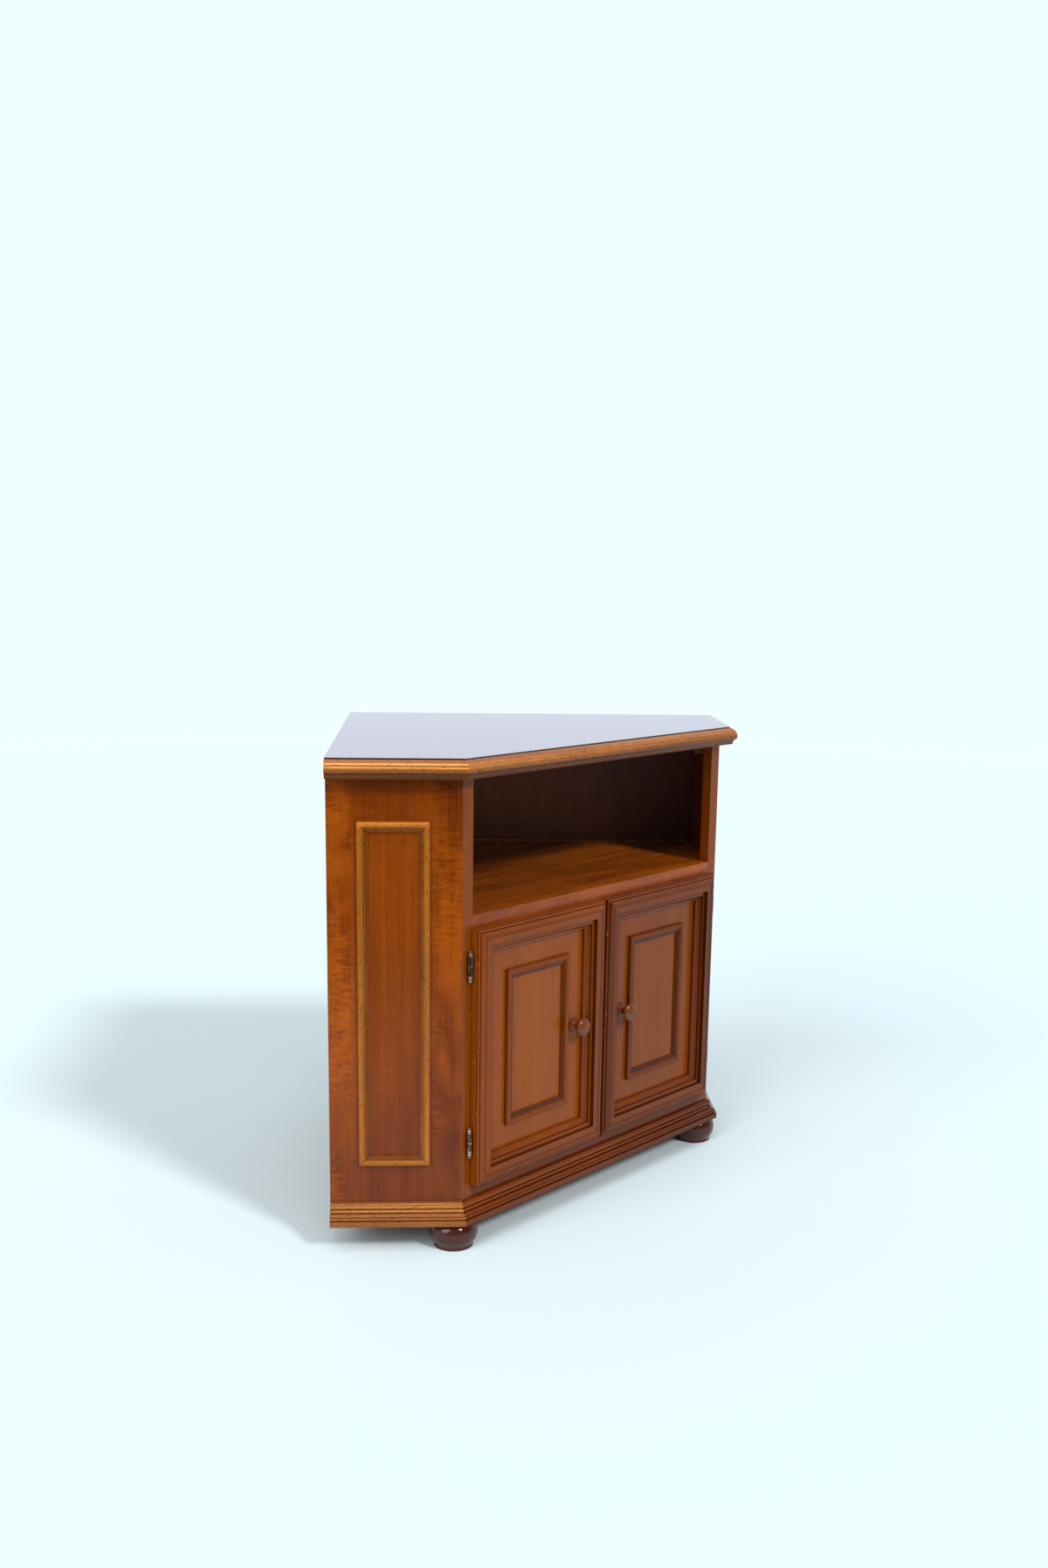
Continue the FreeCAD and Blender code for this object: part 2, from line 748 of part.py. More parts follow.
def barrel_half(label, level, low, high, bore, hole_plane):
    """Half of a hinge's barrel: a tube round the pin, with a hole in its side for its screw."""
    body = turned(label, rectangle(bore, low, size.barrel_radius, high))
    hole = draw(body, hole_plane, circles=[(ZERO, (low + high) / 2, size.hinge_screw_radius)])
    drilled = extrude(body, hole, size.barrel_radius + size.overrun, "PartDesign::Pocket", "One side")
    drilled.Reversed = hole_plane == "YZ_Plane"
    place(body, hinge_x, hinge_y, level)
    return body


def barrel_ring(label, level):
    """The thin ring that the upper half of a barrel turns on."""
    half = size.barrel_ring_thickness / 2
    ring = turned(label, rectangle(size.hinge_pin_radius, -half, size.barrel_ring_radius, half))
    place(ring, hinge_x, hinge_y, level)
    return ring


def hinge_pin(label, level):
    """The pin through both halves of a barrel, with a ringed finial at each end."""
    half = size.barrel_length / 2
    upper = scaled(FINIAL_SHARES, size.barrel_radius, size.finial_length, half)
    tip, *lower = [(x, -y) for x, y in reversed(upper)]
    lower_tip = (*tip, dome_radius(tip, lower[0]))
    shank = [(size.hinge_pin_radius, -half), (size.hinge_pin_radius, half)]
    pin = turned(label, [lower_tip] + lower + shank + domed(upper))
    place(pin, hinge_x, hinge_y, level)
    return pin


def hinge_screw(label, level, into, gap):
    """The screw on a barrel half, which crosses the gap beside the barrel and goes into the wood."""
    radius = size.hinge_screw_radius
    start = hinge_screw_start
    length = size.barrel_radius + gap + size.hinge_screw_reach - start
    screw = turned(label, [(ZERO, ZERO), (radius, ZERO), (radius, length - radius), (ZERO, length)])
    place(screw, hinge_x + start * into.x, hinge_y + start * into.y, level, UPWARD, into)
    return screw


def hinges():
    """Two drill-in hinges a door: the lower half of each barrel stays on the post with the pin and
    the ring, and the upper half swings with the door."""
    half = size.barrel_length / 2
    half_ring = size.barrel_ring_thickness / 2
    pin = size.hinge_pin_radius
    turning_bore = pin + size.hinge_pin_clearance
    frame_halves = []
    door_halves = []
    pins = []
    frame_screws = []
    door_screws = []
    for name, level in hinge_levels.items():
        frame_halves.append(barrel_half(f"{name}_frame_half", level, -half, -half_ring, pin, "XZ_Plane"))
        low = half_ring + size.barrel_end_gap
        high = half - size.barrel_end_gap
        door_halves.append(barrel_half(f"{name}_door_half", level, low, high, turning_bore, "YZ_Plane"))
        pins.append(hinge_pin(f"{name}_hinge_pin", level))
        pins.append(barrel_ring(f"{name}_hinge_ring", level))
        frame_screws.append(hinge_screw(f"{name}_frame_screw", level - door_half_rise, BACKWARD,
                                        size.barrel_face_gap))
        door_screws.append(hinge_screw(f"{name}_door_screw", level + door_half_rise, RIGHTWARD,
                                       size.barrel_edge_gap))
    keep_pair(group("hinge_frame_leaves_left", frame_halves))
    keep_pair(group("hinge_pins_left", pins))
    keep_pair(group("hinge_frame_screws_left", frame_screws))
    keep_pair(group("left_door_hinge_leaves", door_halves))
    keep_pair(group("left_door_hinge_screws", door_screws))


# Catches

def catches():
    """A magnetic catch under the shelf behind each meeting stile, and its strike on the door."""
    middle_x = -(size.catch_length + size.catch_spacing) / 2
    half_length = size.catch_length / 2
    near = size.door_inset_depth - size.door_back_gap + size.strike_thickness + size.catch_face_gap
    far = near + size.catch_depth
    lip = near + size.catch_lip_depth
    section = [
        (near, ZERO), (near, size.catch_lip_height - size.catch_height), (lip, -size.catch_height),
        (far, -size.catch_height), (far, ZERO),
    ]
    catch = new_body("door_catch_left")
    extrude(catch, draw(catch, "YZ_Plane", [section]), half_length * 2)
    place(catch, middle_x, front_y, shelf_bottom)
    keep_pair(catch)

    strike = new_body("left_door_strike_plate")
    half_strike = size.strike_length / 2
    outline = rectangle(-half_strike, -size.strike_height, half_strike, ZERO)
    extrude(strike, draw(strike, "XZ_Plane", [outline]), size.strike_thickness)
    strike_y = door_back_y + size.door_inset_depth + size.strike_thickness / 2
    place(strike, middle_x, strike_y, door_top - door_inset)
    keep_pair(strike)


def check_and_write():
    """Stops on any failed object or unsound solid, then writes one file for each piece."""
    doc.recompute()
    failed = [item.Label for item in doc.Objects if {"Invalid", "Error"} & set(item.State)]
    if failed:
        raise RuntimeError(f"failed objects: {failed}")
    for piece in pieces:
        if piece.Shape.isNull() or not piece.Shape.isValid():
            raise RuntimeError(f"unsound shape: {piece.Label}")
    os.makedirs("parts", exist_ok=True)
    for piece in pieces:
        piece.Shape.exportStep(os.path.join("parts", f"{piece.Label}.step"))


side_panels()
front_posts()
boards()
back()
cleats()
top()
base()
feet()
side_moldings()
door_frames()
door_panels()
knobs()
hinges()
catches()
check_and_write()
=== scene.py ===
import json
import math

import bmesh
import bpy
from mathutils import Matrix, Vector

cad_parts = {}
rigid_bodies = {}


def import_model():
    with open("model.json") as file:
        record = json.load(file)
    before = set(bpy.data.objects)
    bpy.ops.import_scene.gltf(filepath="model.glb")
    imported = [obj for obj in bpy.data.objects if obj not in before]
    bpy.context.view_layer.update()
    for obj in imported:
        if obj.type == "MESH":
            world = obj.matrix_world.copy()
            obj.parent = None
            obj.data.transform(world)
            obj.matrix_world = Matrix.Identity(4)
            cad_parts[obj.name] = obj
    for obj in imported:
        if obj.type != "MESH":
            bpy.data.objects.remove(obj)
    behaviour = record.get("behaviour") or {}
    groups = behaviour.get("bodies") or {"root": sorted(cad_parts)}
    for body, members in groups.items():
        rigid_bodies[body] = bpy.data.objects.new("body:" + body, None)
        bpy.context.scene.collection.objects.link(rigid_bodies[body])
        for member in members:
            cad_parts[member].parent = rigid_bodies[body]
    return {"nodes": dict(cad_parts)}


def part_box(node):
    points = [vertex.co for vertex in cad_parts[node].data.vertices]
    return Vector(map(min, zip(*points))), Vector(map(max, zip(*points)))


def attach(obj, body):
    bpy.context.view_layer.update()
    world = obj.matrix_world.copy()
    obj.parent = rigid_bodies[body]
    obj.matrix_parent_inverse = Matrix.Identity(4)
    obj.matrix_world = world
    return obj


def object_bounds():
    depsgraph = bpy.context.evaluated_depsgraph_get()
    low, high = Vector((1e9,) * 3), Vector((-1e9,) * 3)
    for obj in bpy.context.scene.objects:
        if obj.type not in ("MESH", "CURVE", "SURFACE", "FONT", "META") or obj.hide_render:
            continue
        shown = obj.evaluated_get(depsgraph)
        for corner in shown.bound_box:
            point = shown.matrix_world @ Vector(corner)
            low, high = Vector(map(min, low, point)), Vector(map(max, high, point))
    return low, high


# The looks of the corner cabinet: lacquered wood with its grain, stain and wear, and bronzed hinges.
# Metres, Z up, the doors face -Y, the back corner is at +Y and the floor is Z = 0.

for leftover in list(bpy.data.objects):
    bpy.data.objects.remove(leftover)

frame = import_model()
nodes = frame["nodes"]
cad_low, cad_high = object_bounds()

MM = 0.001

# Camera, in the pixels of a 1200 x 1796 picture
IMAGE_HEIGHT = 1796
IMAGE_MIDDLE_ROW = IMAGE_HEIGHT / 2
OPTICAL_ROW = 1013.5
FOCAL_PIXELS = 1778.6
CAMERA_PLACE = (-1.7661, -1.6929, 0.9582)
CAMERA_HEADING = math.radians(48.14)
CAMERA_PITCH = math.radians(-11.85)
CAMERA_ROLL = math.radians(0.79)

# Light: azimuth 0 comes from straight in front of the doors, and -90 from the left
LAMPS = {
    "front_lamp": {"azimuth": -4, "elevation": 38, "strength": 1.75, "spread": 10},
    "side_lamp": {"azimuth": -88, "elevation": 32, "strength": 1.4, "spread": 40},
    "high_lamp": {"azimuth": -45, "elevation": 66, "strength": 0.6, "spread": 30},
}
ROOM_COLOR = (0.88, 0.99, 1.0, 1)
ROOM_FILL = 0.40
MIRRORED_ROOM_COLOR = (0.80, 0.86, 1.0, 1)
# Where the room is reflected, it is dim in front of the doors. A span says where the dimness starts and
# where it is full, along the dim side's direction
DIM_ROOM_SIDE = (-0.25, -0.97, 0.0)
DIM_ROOM_SPAN = (0.05, 0.66)
DIM_ROOM_COLOR = (0.12, 0.12, 0.14, 1)
# The floor fades into the room's colour far away, and its reflection is dim in front and to the left
FLOOR_REACH = 60
FLOOR_COLOR = (0.775, 0.895, 0.94, 1)
FLOOR_ROUGHNESS = 0.6
FLOOR_GLOSS = 0.1
FLOOR_FADE_SPAN = (2.5, 8.0)
DIM_FLOOR_SIDE = (-0.72, -0.69, 0.0)
DIM_FLOOR_SPAN = (0.5, 2.4)
DIM_FLOOR_COLOR = (0.0, 0.0, 0.0, 1)

# Which way the grain runs: how the piece's own coordinates turn so that X lies along it
ALONG_X = (0, 0, 0)
ALONG_Z = (0, math.pi / 2, 0)
SIDE_ANGLES = {"left": math.pi / 4, "right": -math.pi / 4}


class Graph:
    """Adds nodes to a node tree and joins them up."""

    def __init__(self, tree):
        self.tree = tree

    def node(self, kind, inputs=None, **settings):
        node = self.tree.nodes.new(kind)
        for name, value in settings.items():
            setattr(node, name, value)
        for name, value in (inputs or {}).items():
            self.feed(node.inputs[name], value)
        return node

    def group(self, node_tree, inputs):
        """Puts a node group into this tree, feeds it and gives its outputs."""
        return self.node("ShaderNodeGroup", inputs, node_tree=node_tree).outputs

    def feed(self, socket, value):
        if isinstance(value, bpy.types.NodeSocket):
            self.tree.links.new(value, socket)
        else:
            socket.default_value = value

    def own_coordinates(self):
        return self.node("ShaderNodeTexCoord").outputs["Object"]

    def parts(self, vector):
        """The X, Y and Z of a vector."""
        return self.node("ShaderNodeSeparateXYZ", {0: vector}).outputs

    def math(self, operation, first, second=0.0):
        return self.node("ShaderNodeMath", {0: first, 1: second}, operation=operation).outputs[0]

    def multiply(self, first, second):
        return self.math("MULTIPLY", first, second)

    def dot(self, first, second):
        inputs = {0: first, 1: second}
        return self.node("ShaderNodeVectorMath", inputs, operation="DOT_PRODUCT").outputs["Value"]

    def stretch(self, vector, factors):
        inputs = {0: vector, 1: factors}
        return self.node("ShaderNodeVectorMath", inputs, operation="MULTIPLY").outputs[0]

    def noise(self, vector, detail=2.0, roughness=0.5, distortion=0.0):
        inputs = {
            "Vector": vector, "Scale": 1.0, "Detail": detail,
            "Roughness": roughness, "Distortion": distortion,
        }
        return self.node("ShaderNodeTexNoise", inputs).outputs[0]

    def span(self, value, low, high, to_low=0.0, to_high=1.0):
        """A value from low to high becomes one from to_low to to_high, and stops there."""
        inputs = {"Value": value, "From Min": low, "From Max": high, "To Min": to_low, "To Max": to_high}
        return self.node("ShaderNodeMapRange", inputs, interpolation_type="SMOOTHSTEP").outputs[0]

    def blend(self, factor, first, second, mode="MIX"):
        inputs = {0: factor, 6: first, 7: second}
        return self.node("ShaderNodeMix", inputs, data_type="RGBA", blend_type=mode).outputs[2]

    def blend_vector(self, factor, first, second):
        inputs = {0: factor, 4: first, 5: second}
        return self.node("ShaderNodeMix", inputs, data_type="VECTOR").outputs[1]


def new_group(name, inputs, outputs):
    """An empty shader node group, with its graph, its incoming sockets and its outgoing ones."""
    tree = bpy.data.node_groups.new(name, "ShaderNodeTree")
    for socket, kind in inputs.items():
        tree.interface.new_socket(name=socket, in_out="INPUT", socket_type=f"NodeSocket{kind}")
    for socket, kind in outputs.items():
        tree.interface.new_socket(name=socket, in_out="OUTPUT", socket_type=f"NodeSocket{kind}")
    graph = Graph(tree)
    return tree, graph, graph.node("NodeGroupInput").outputs, graph.node("NodeGroupOutput").inputs


# Shared effects

# How fine each part of the grain is, along X and across
FIBRE_SCALE = (9, 620, 620)
STREAK_SCALE = (2.2, 85, 85)
RIPPLE_SCALE = (190, 50, 50)
RIPPLE_PATCH_SCALE = (7, 24, 24)
CLOUD_SCALE = (8, 24, 24)
PORE_SCALE = (130, 1500, 1500)
# Between which values of their noise the ripple's patches and the pores come in
RIPPLE_PATCH_SPAN = (0.42, 0.66)
PORE_SPAN = (0.60, 0.72)
FIBRE_STRENGTH = 0.35
MIDDLE_TONE = 0.5
PORE_DEPTH = 2.0
# Shares of a line's half width between which it fades
LINE_FADE_SHARES = (0.4, 1.6)


def make_wood_grain():
    """Wood whose grain runs along X: fibres, broad streaks, cross ripple, clouds and dark pores."""
    inputs = {
        "Coordinates": "Vector", "Light": "Color", "Dark": "Color", "Streaks": "Float",
        "Ripple": "Float", "Clouds": "Float", "Pores": "Float",
    }
    tree, graph, given, made = new_group("wood_grain", inputs, {"Color": "Color", "Height": "Float"})

    def figure(scale, **settings):
        return graph.noise(graph.stretch(given["Coordinates"], scale), **settings)

    def around_middle(value, strength):
        return graph.multiply(graph.math("SUBTRACT", value, MIDDLE_TONE), strength)

    fibre = figure(FIBRE_SCALE, detail=3, roughness=0.6)
    streak = figure(STREAK_SCALE, detail=3, roughness=0.55, distortion=0.4)
    ripple = figure(RIPPLE_SCALE, detail=2, roughness=0.5, distortion=0.5)
    ripple_patch = graph.span(figure(RIPPLE_PATCH_SCALE, detail=1), *RIPPLE_PATCH_SPAN)
    cloud = figure(CLOUD_SCALE, detail=3, roughness=0.6, distortion=0.5)
    pore = figure(PORE_SCALE, detail=1, roughness=0.4)

    tone = graph.math("ADD", MIDDLE_TONE, around_middle(fibre, FIBRE_STRENGTH))
    tone = graph.math("ADD", tone, around_middle(streak, given["Streaks"]))
    tone = graph.math("ADD", tone, around_middle(ripple, graph.multiply(ripple_patch, given["Ripple"])))
    tone = graph.math("ADD", tone, around_middle(cloud, given["Clouds"]))
    tone = graph.span(tone, 0.0, 1.0)
    pore_mask = graph.multiply(graph.span(pore, *PORE_SPAN), given["Pores"])
    color = graph.blend(tone, given["Dark"], given["Light"])
    shaded = graph.math("SUBTRACT", 1.0, pore_mask)
    graph.feed(made["Color"], graph.blend(1.0, color, shaded, mode="MULTIPLY"))
    graph.feed(made["Height"], graph.math("SUBTRACT", fibre, graph.multiply(pore_mask, PORE_DEPTH)))
    return tree


def make_mitred_frame():
    """For four mitred strips round a middle: grain coordinates that follow each strip, the distances in
    from the outer edge and from the sides, and the distance from a mitre. X lies across and Z is up."""
    inputs = {
        "Coordinates": "Vector", "Middle X": "Float", "Middle Z": "Float",
        "Half Width": "Float", "Half Height": "Float",
    }
    outputs = {"Grain": "Vector", "Inset": "Float", "Side Inset": "Float", "Miter": "Float"}
    tree, graph, given, made = new_group("mitred_frame", inputs, outputs)
    spot = graph.parts(given["Coordinates"])
    across = graph.math("ABSOLUTE", graph.math("SUBTRACT", spot["X"], given["Middle X"]))
    upward = graph.math("ABSOLUTE", graph.math("SUBTRACT", spot["Z"], given["Middle Z"]))
    side_inset = graph.math("SUBTRACT", given["Half Width"], across)
    end_inset = graph.math("SUBTRACT", given["Half Height"], upward)
    is_upright = graph.math("LESS_THAN", side_inset, end_inset)
    swapped = {"X": spot["Z"], "Y": spot["Y"], "Z": spot["X"]}
    upright = graph.node("ShaderNodeCombineXYZ", swapped).outputs[0]
    graph.feed(made["Grain"], graph.blend_vector(is_upright, given["Coordinates"], upright))
    graph.feed(made["Inset"], graph.math("MINIMUM", side_inset, end_inset))
    graph.feed(made["Side Inset"], side_inset)
    graph.feed(made["Miter"], graph.math("SUBTRACT", side_inset, end_inset))
    return tree


def make_groove_line():
    """A line of darker stain at one distance, partly painted shade where a profile steps: darkest on the
    line, and 1 away from it.
    """
    inputs = {"Distance": "Float", "Place": "Float", "Half Width": "Float", "Depth": "Float"}
    tree, graph, given, made = new_group("groove_line", inputs, {"Shade": "Float"})
    away = graph.math("ABSOLUTE", graph.math("SUBTRACT", given["Distance"], given["Place"]))
    on_line = graph.span(graph.math("DIVIDE", away, given["Half Width"]), *LINE_FADE_SHARES, 1.0, 0.0)
    graph.feed(made["Shade"], graph.math("SUBTRACT", 1.0, graph.multiply(on_line, given["Depth"])))
    return tree


WOOD_GRAIN = make_wood_grain()
MITRED_FRAME = make_mitred_frame()
GROOVE_LINE = make_groove_line()

# Wood finishes. A color is linear, and the numbers are strengths that the grain takes
FINISHES = {
    "side_veneer": {
        "light": (0.325, 0.064, 0.0011, 1), "dark": (0.08, 0.010, 0.0002, 1),
        "streaks": 0.4, "ripple": 0.9, "clouds": 1.2, "pores": 0.25, "roughness": 0.18,
    },
    "golden_molding": {
        "light": (0.53, 0.168, 0.012, 1), "dark": (0.17, 0.038, 0.003, 1),
        "streaks": 0.6, "ripple": 0.2, "clouds": 0.4, "pores": 0.8, "roughness": 0.22, "gloss": 0.28,
    },
    # Like the golden moulding, with more green and blue as a painted sheen of reflected light
    "golden_edge": {
        "light": (0.53, 0.192, 0.036, 1), "dark": (0.19, 0.052, 0.011, 1),
        "streaks": 0.6, "ripple": 0.2, "clouds": 0.4, "pores": 0.8, "roughness": 0.22, "gloss": 0.28,
    },
    "shelf_wood": {
        "light": (0.66, 0.150, 0.006, 1), "dark": (0.17, 0.024, 0.001, 1),
        "streaks": 0.8, "ripple": 0.2, "clouds": 0.8, "pores": 0.3, "roughness": 0.18,
    },
    "front_wood": {
        "light": (0.27, 0.057, 0.002, 1), "dark": (0.12, 0.022, 0.001, 1),
        "streaks": 0.4, "ripple": 0.3, "clouds": 0.35, "pores": 0.3, "roughness": 0.18, "gloss": 0.21,
    },
    # Its blue is a painted sheen of reflected light
    "front_molding": {
        "light": (0.52, 0.186, 0.044, 1), "dark": (0.20, 0.054, 0.012, 1),
        "streaks": 0.6, "ripple": 0.2, "clouds": 0.4, "pores": 0.8, "roughness": 0.22, "gloss": 0.2,
    },
    "door_frame": {
        "light": (0.30, 0.062, 0.002, 1), "dark": (0.14, 0.026, 0.001, 1),
        "streaks": 0.35, "ripple": 0.2, "clouds": 0.3, "pores": 0.4, "roughness": 0.16, "gloss": 0.21,
    },
    "door_veneer": {
        "light": (0.36, 0.081, 0.002, 1), "dark": (0.18, 0.036, 0.001, 1),
        "streaks": 0.3, "ripple": 0.25, "clouds": 0.25, "pores": 0.25, "roughness": 0.15, "gloss": 0.21,
    },
    "top_veneer": {
        "light": (0.16, 0.040, 0.010, 1), "dark": (0.07, 0.016, 0.004, 1),
        "streaks": 0.6, "ripple": 0.2, "clouds": 0.4, "pores": 0.3, "roughness": 0.08, "gloss": 0.6,
    },
    "turned_wood": {
        "light": (0.215, 0.046, 0.006, 1), "dark": (0.082, 0.015, 0.002, 1),
        "streaks": 0.5, "ripple": 0.1, "clouds": 0.2, "pores": 0.3, "roughness": 0.10, "gloss": 0.45,
    },
    "foot_wood": {
        "light": (0.080, 0.017, 0.008, 1), "dark": (0.032, 0.006, 0.003, 1),
        "streaks": 0.4, "ripple": 0.1, "clouds": 0.3, "pores": 0.2, "roughness": 0.08, "gloss": 0.42,
    },
    "inner_wood": {
        "light": (0.24, 0.068, 0.018, 1), "dark": (0.10, 0.026, 0.007, 1),
        "streaks": 0.5, "ripple": 0.2, "clouds": 0.3, "pores": 0.3, "roughness": 0.35,
    },
    "back_board": {
        "light": (0.35, 0.120, 0.058, 1), "dark": (0.18, 0.058, 0.027, 1),
        "streaks": 0.4, "ripple": 0.2, "clouds": 0.4, "pores": 0.3, "roughness": 0.45,
    },
}
LACQUER_GLOSS = 0.28
BUMP_HEIGHT = 0.05 * MM
# How strongly a stain takes red, green and blue
STAIN_POWERS = (1.0, 1.25, 1.5)

# Lines of stain: distance, half width and depth, partly painted shade where a profile steps. A line of
# negative depth is lighter, a painted highlight on the frames. On a frame the distance is from its outer
# edge or from a mitre, and on the backs it is the height over the shelf
# In the strips the wide line is painted shade over the inner steps, and the lighter line a painted
# highlight
STRIP_LINES = [
    (9.2 * MM, 0.5 * MM, 0.7), (10.6 * MM, 0.35 * MM, -0.5), (12.3 * MM, 0.5 * MM, 0.6),
    (12.0 * MM, 2.6 * MM, 0.4),
]
DOOR_FRAME_LINES = [
    (1.2 * MM, 0.5 * MM, 0.5), (5.1 * MM, 0.6 * MM, 0.6), (11.7 * MM, 0.5 * MM, 0.5),
    (14.6 * MM, 0.5 * MM, 0.5), (25.0 * MM, 0.6 * MM, 0.6), (31.4 * MM, 0.6 * MM, 0.5),
]
MITER_LINE = (0.0, 0.45 * MM, 0.55)
SHELF_LINE = (1.0 * MM, 0.8 * MM, -1.2)

# The applied frames on the sides are lighter along their upper edge: a painted highlight where light
# from above falls on the top strip
TOP_HIGHLIGHT_DEPTH = 9 * MM
TOP_HIGHLIGHT_LIGHTNESS = 1.6
# Chips on the door frames: how fine they are, where their noise shows, and their reach from the edge
CHIP_SCALE = (110, 190, 190)
CHIP_SPAN = (0.72, 0.75)
CHIP_REACH = (5 * MM, 9 * MM)
CHIP_LIGHTNESS = 1.4

# Painted shade: the right door is darker than the left, as the light from the left falls off, and some
# stiles more so
DOOR_PAINTED_SHADE = {"left": 0.97, "right": 0.74}
MEMBER_PAINTED_SHADE = {
    "left": {"hinge_stile": 1.0, "meeting_stile": 0.80, "top_rail": 1.0, "bottom_rail": 0.92},
    "right": {"hinge_stile": 0.70, "meeting_stile": 0.76, "top_rail": 1.0, "bottom_rail": 0.95},
}

# The sides are darker towards the floor and below the top, between shares of the whole height, as painted
# shade where the light falls off and under the top moulding. They are lighter near the wall, and plain
# within their applied frame
FOOT_PAINTED_SHADE = 0.72
FOOT_PAINTED_SHADE_SHARES = (0.12, 0.55)
HEAD_PAINTED_SHADE = 0.74
HEAD_PAINTED_SHADE_SHARES = (0.80, 0.96)
WALL_SIDE_LIGHTNESS = 1.18
WALL_SIDE_DEPTHS = (20 * MM, 60 * MM)
PLAIN_FIGURE = 0.25
PLAIN_FIGURE_INSETS = (-16 * MM, 6 * MM)

# The inner faces of the backs are darker towards the sides, between shares of the half width, as painted
# shade where less light reaches the sides of the niche. Outer faces of the backs and back edges of the
# boards end between these distances from the wall
BACK_PAINTED_SHADE = 0.42
BACK_PAINTED_SHADE_SHARES = (0.30, 0.85)
BACK_FACE_DEPTHS = (2 * MM, 3 * MM)

# Level boards: the shade of their front edges, the coat on their upper face, and how much lighter they
# are near the wall, which is painted light on the shelf's far part
BOARDS = {
    "shelf_board": {"finish": "shelf_wood", "edge_shade": 0.62, "coat": 0.6, "painted_wall_light": 1.5},
    # The bottom board's front edge is darker as a painted shadow of the doors above it
    "bottom_board": {"finish": "front_wood", "edge_shade": 0.60, "coat": 0.3},
    "top_board": {"finish": "top_veneer", "edge_shade": 0.2, "coat": 1.0},
}
BOARD_FACE_DEPTHS = (0.3 * MM, 0.1 * MM)
PAINTED_WALL_LIGHT_DEPTHS = (20 * MM, 260 * MM)

# The top and base mouldings, in shares of their height: lines of stain and painted shade where the profile
# steps, lines of painted highlight on the rounds, and where the painted shade on the lower faces, which
# turn down, starts to fade and where it ends. Then how dark that painted shade is
EDGE_LINE_SHARES = {"top": (0.31, 0.17, 0.06), "base": (0.28, 0.42, 0.56, 0.70, 0.98)}
EDGE_HIGHLIGHT_SHARES = {"top": (0.81, 0.62), "base": (0.34, 0.63, 0.82)}
EDGE_PAINTED_SHADE_SHARES = {"top": (0.22, 0.72), "base": (0.10, 1.50)}
EDGE_PAINTED_SHADE = {"top": 0.42, "base": 0.70}
EDGE_LINE_HALF_WIDTH = 0.5 * MM
EDGE_LINE_DEPTH = 0.6
HIGHLIGHT_LINE_HALF_WIDTH = 0.8 * MM
# How much lighter the painted highlight lines are
SIDE_HIGHLIGHT = {"top": 1.3, "base": 0.6}
FRONT_HIGHLIGHT = {"top": 0.2, "base": 0.4}
# The base gets darker towards the right of its front, as painted shade where the light from the left
# falls off, starting at a share of its left half
BASE_RIGHT_PAINTED_SHADE = 0.70
BASE_RIGHT_START_SHARE = 0.5

METALS = {
    "bronze": {"color": (0.115, 0.056, 0.040, 1), "worn": (0.36, 0.20, 0.14, 1), "roughness": 0.24},
    "rubbed_bronze": {"color": (0.50, 0.31, 0.25, 1), "worn": (0.92, 0.70, 0.60, 1), "roughness": 0.16},
    "steel": {"color": (0.42, 0.41, 0.39, 1), "worn": (0.55, 0.54, 0.52, 1), "roughness": 0.32},
    "nail_steel": {"color": (0.20, 0.19, 0.18, 1), "worn": (0.40, 0.39, 0.37, 1), "roughness": 0.4},
}
METAL_WEAR_SCALE = (260, 260, 260)
METAL_WEAR_SPAN = (0.45, 0.70)
WORN_ROUGHNESS_SHARE = 0.6

CATCH_COLORS = ((0.05, 0.022, 0.012, 1), (0.09, 0.042, 0.024, 1))
CATCH_SPECKLE_SCALE = (900, 900, 900)
CATCH_ROUGHNESS = 0.4

# The thin backs are nailed on
NAIL_RADIUS = 2.0 * MM
NAIL_TOP_RADIUS = 1.5 * MM
NAIL_THICKNESS = 0.8 * MM
NAIL_SIDES = 12
NAIL_EDGE = 9 * MM
NAIL_GAP = 75 * MM


# Materials

def new_material(name):
    material = bpy.data.materials.new(name)
    material.use_nodes = True
    material.node_tree.nodes.clear()
    graph = Graph(material.node_tree)
    shader = graph.node("ShaderNodeBsdfPrincipled")
    output = graph.node("ShaderNodeOutputMaterial")
    graph.feed(output.inputs["Surface"], shader.outputs[0])
    return material, graph, shader


def turned_coordinates(graph, turn):
    """The piece's own coordinates, turned so that X lies along the grain."""
    inputs = {"Vector": graph.own_coordinates(), "Rotation": turn}
    return graph.node("ShaderNodeMapping", inputs).outputs[0]


def stained(color, stain):
    """A color under a darker stain, which takes more of the green and blue than of the red. On the doors
    it is painted shade.
    """
    return [part * stain ** power for part, power in zip(color, STAIN_POWERS)] + [1]


